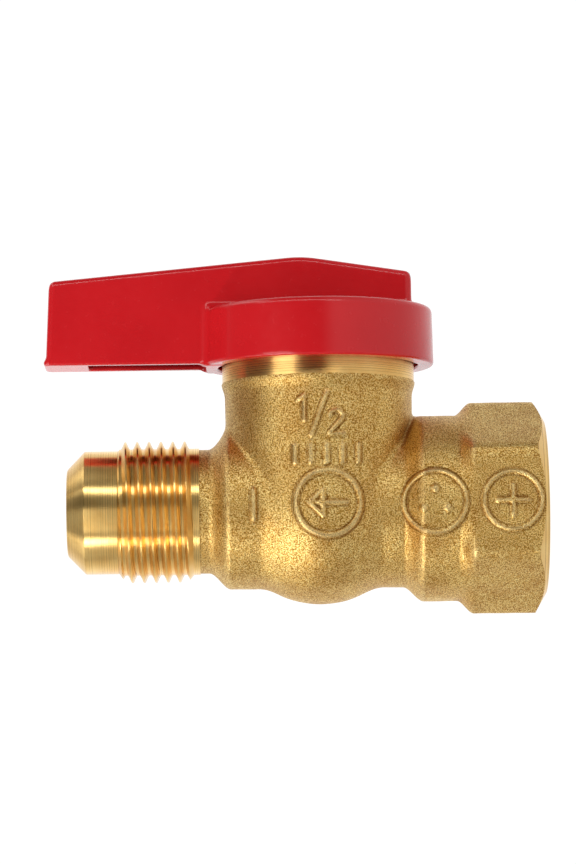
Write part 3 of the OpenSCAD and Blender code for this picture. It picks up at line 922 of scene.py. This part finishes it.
def studioFloor():
    s = studio
    mesh = bpy.data.meshes.new("studioFloor")
    corners = [(s[side], s[end], s["floor"]) for end in ("front", "back") for side in ("left", "right")]
    mesh.from_pydata(corners, [], [(0, 1, 3, 2)])
    floor = bpy.data.objects.new("studioFloor", mesh)
    bpy.context.scene.collection.objects.link(floor)
    n = Nodes("paleFloor")
    mottle = n.noise(s["mottle"], 2.0, 0.5)
    mesh.materials.append(n.finish(Base_Color=n.ramp(mottle, *s["tones"]), Roughness=s["rough"]))


studioFloor()
lamps = dict(  # azimuth, elevation, distance, width and height in metres, power in watts
    upperBox=(-20, 37, 0.6, (0.95, 0.08), 1.25),
    lowerBox=(-50, -53, 0.5, (0.20, 0.08), 0.8),
    leftBox=(-42, -17, 0.6, (0.30, 0.44), 1.25),
    sideBoxHigh=(-88, 46, 0.6, (0.40, 0.22), 0.55),
    sideBoxLow=(-88, -46, 0.6, (0.40, 0.22), 0.45))
for lampName, settings in lamps.items():
    lamp(lampName, *settings)


air = dict(  # brightness at compass directions, 0 ahead and positive to the right, and at heights
    level=1.4,
    around=((-180, 1.4), (-140, 1.1), (-122, 0.75), (-106, 0.4), (-95, 0.11), (-20, 0.08), (4, 0.07),
            (17, 0.9), (90, 0.95), (155, 1.2), (180, 1.4)),
    height=((-90, 0.3), (-75, 0.33), (-60, 0.42), (-35, 0.6), (-12, 0.55), (12, 0.55), (30, 0.62),
            (50, 0.45), (70, 0.33), (90, 0.25)))


def studioAir():
    # the room as brightness by compass direction times brightness by height: a dim room in front,
    # a pale wall from the right round to the back, brighter above and below than at eye level
    world = bpy.data.worlds.new("studioAir")
    bpy.context.scene.world = world
    world.use_nodes = True
    tree = world.node_tree

    def add(kind, **settings):
        node = tree.nodes.new("ShaderNode" + kind)
        for key, value in settings.items():
            setattr(node, key, value)
        return node

    def sums(operation, *values):
        node = add("Math", operation=operation)
        for socket, value in zip(node.inputs, values):
            if isinstance(value, (int, float)):
                socket.default_value = value
            else:
                tree.links.new(value, socket)
        return node.outputs[0]

    def graded(source, stops):
        ramp = add("ValToRGB")
        points = ramp.color_ramp.elements
        while len(points) < len(stops):
            points.new(0.5)
        for point, (at, level) in zip(points, stops):
            point.position = at
            point.color = (level, level, level, 1)
        tree.links.new(source, ramp.inputs[0])
        return ramp.outputs[0]

    split = add("SeparateXYZ")
    tree.links.new(add("TexCoord").outputs["Generated"], split.inputs[0])
    compass = sums("ARCTAN2", split.outputs["X"], sums("MULTIPLY", split.outputs["Y"], -1))
    share = sums("MULTIPLY_ADD", compass, 0.5 / math.pi, 0.5)
    lift = sums("MULTIPLY_ADD", split.outputs["Z"], 0.5, 0.5)
    around = graded(share, [((d + 180) / 360, level) for d, level in air["around"]])
    height = graded(lift, [(0.5 + 0.5 * math.sin(math.radians(e)), level) for e, level in air["height"]])
    strength = sums("MULTIPLY", sums("MULTIPLY", around, height), air["level"])
    seen = sums("MAXIMUM", strength, add("LightPath").outputs["Is Camera Ray"])
    tree.links.new(seen, tree.nodes["Background"].inputs["Strength"])
    tree.nodes["Background"].inputs["Color"].default_value = (1, 1, 1, 1)


studioAir()

view = dict(distance=0.590, lens=183.0, azimuth=0.55, elevation=5.7, roll=0.82,
            aimX=-4.14, aimZ=10.58, sensor=36.0, clip=(0.01, 50.0))


def setCamera():
    # looks slightly up at the valve from in front, a long lens well back
    v = view
    a, e = math.radians(v["azimuth"]), math.radians(v["elevation"])
    ahead = Vector((math.sin(a) * math.cos(e), math.cos(a) * math.cos(e), math.sin(e)))
    aim = stemAxis + Vector((v["aimX"] * mm, 0, v["aimZ"] * mm))
    data = bpy.data.cameras.new("camera")
    data.lens, data.sensor_width = v["lens"], v["sensor"]
    data.clip_start, data.clip_end = v["clip"]
    camera = bpy.data.objects.new("camera", data)
    turn = ahead.to_track_quat("-Z", "Y").to_matrix().to_4x4()
    camera.matrix_world = Matrix.Translation(aim - ahead * v["distance"]) @ turn @ Matrix.Rotation(
        math.radians(-v["roll"]), 4, "Z")
    bpy.context.scene.collection.objects.link(camera)
    bpy.context.scene.camera = camera


setCamera()
bpy.context.scene.view_settings.view_transform = "Standard"
